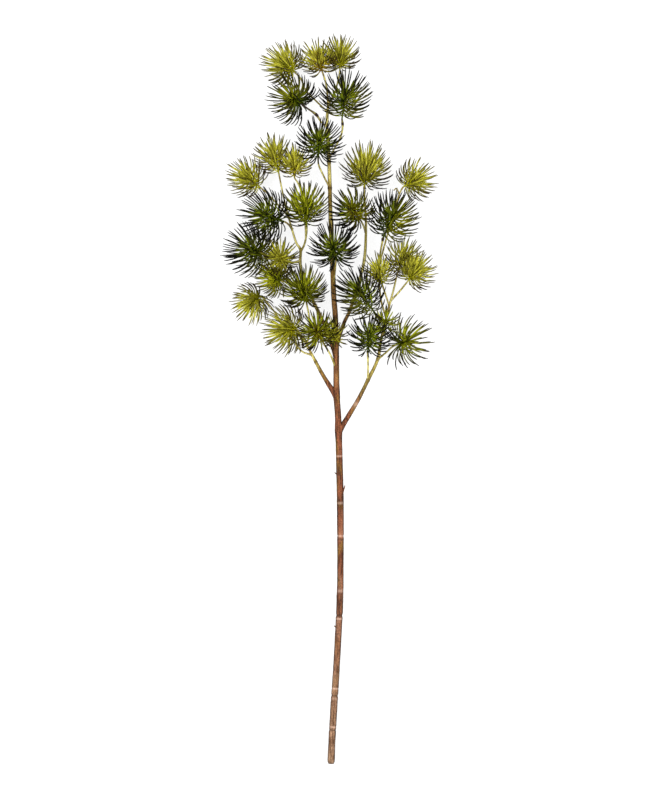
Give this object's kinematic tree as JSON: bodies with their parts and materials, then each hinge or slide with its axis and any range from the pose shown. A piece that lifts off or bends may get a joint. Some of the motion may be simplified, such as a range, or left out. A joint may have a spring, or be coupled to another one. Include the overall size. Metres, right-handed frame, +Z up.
{
  "type": "pine branch",
  "caption": "Cut pine branch with a long bare stem, forked side branches and a head of round needle tufts, lying on a surface.",
  "frame": {"origin": "on the surface that the branch lies on, below the middle of its overall box", "axes": "+Y from the cut end of the stem to the tip of the head, +Z up from the surface, +X to the right seen from above"},
  "size_m": [0.2677, 0.902, 0.0947],
  "materials": {
    "bark": "reddish-brown bark, matt, with fine ridges and rings; tan towards the cut end",
    "green_wood": "smooth olive-yellow young twigs",
    "needles_light": "yellow-green needles with brownish tips",
    "needles_mid": "olive-green needles with dark tips",
    "needles_dark": "dark green needles with nearly black tips"
  },
  "bodies": {
    "root": {"main_stem": "bark", "left_branch": "bark", "right_branch": "bark", "middle_branch": "bark", "upper_left_branch": "bark", "twig_01": "green_wood", "twig_03": "green_wood", "twig_04": "green_wood", "twig_05": "green_wood", "twig_06": "green_wood", "twig_08": "green_wood", "twig_09": "green_wood", "twig_11": "green_wood", "twig_12": "green_wood", "twig_13": "green_wood", "twig_14": "green_wood", "twig_15": "green_wood", "twig_16": "green_wood", "twig_17": "green_wood", "twig_18": "green_wood", "twig_19": "green_wood", "twig_20": "green_wood", "twig_22": "green_wood", "twig_23": "green_wood", "twig_24": "green_wood", "twig_25": "green_wood", "twig_27": "green_wood", "twig_28": "green_wood", "twig_29": "green_wood", "tuft_01": "needles_light", "tuft_02": "needles_light", "tuft_03": "needles_light", "tuft_04": "needles_dark", "tuft_05": "needles_dark", "tuft_06": "needles_dark", "tuft_07": "needles_light", "tuft_08": "needles_light", "tuft_09": "needles_light", "tuft_10": "needles_light", "tuft_11": "needles_light", "tuft_12": "needles_mid", "tuft_13": "needles_dark", "tuft_14": "needles_dark", "tuft_15": "needles_dark", "tuft_16": "needles_dark", "tuft_17": "needles_light", "tuft_18": "needles_mid", "tuft_19": "needles_light", "tuft_20": "needles_mid", "tuft_21": "needles_light", "tuft_22": "needles_mid", "tuft_23": "needles_dark", "tuft_24": "needles_dark", "tuft_25": "needles_light", "tuft_26": "needles_light", "tuft_27": "needles_light", "tuft_28": "needles_dark", "tuft_29": "needles_mid", "tuft_30": "needles_light", "tuft_31": "needles_mid"}
  },
  "joints": []
}
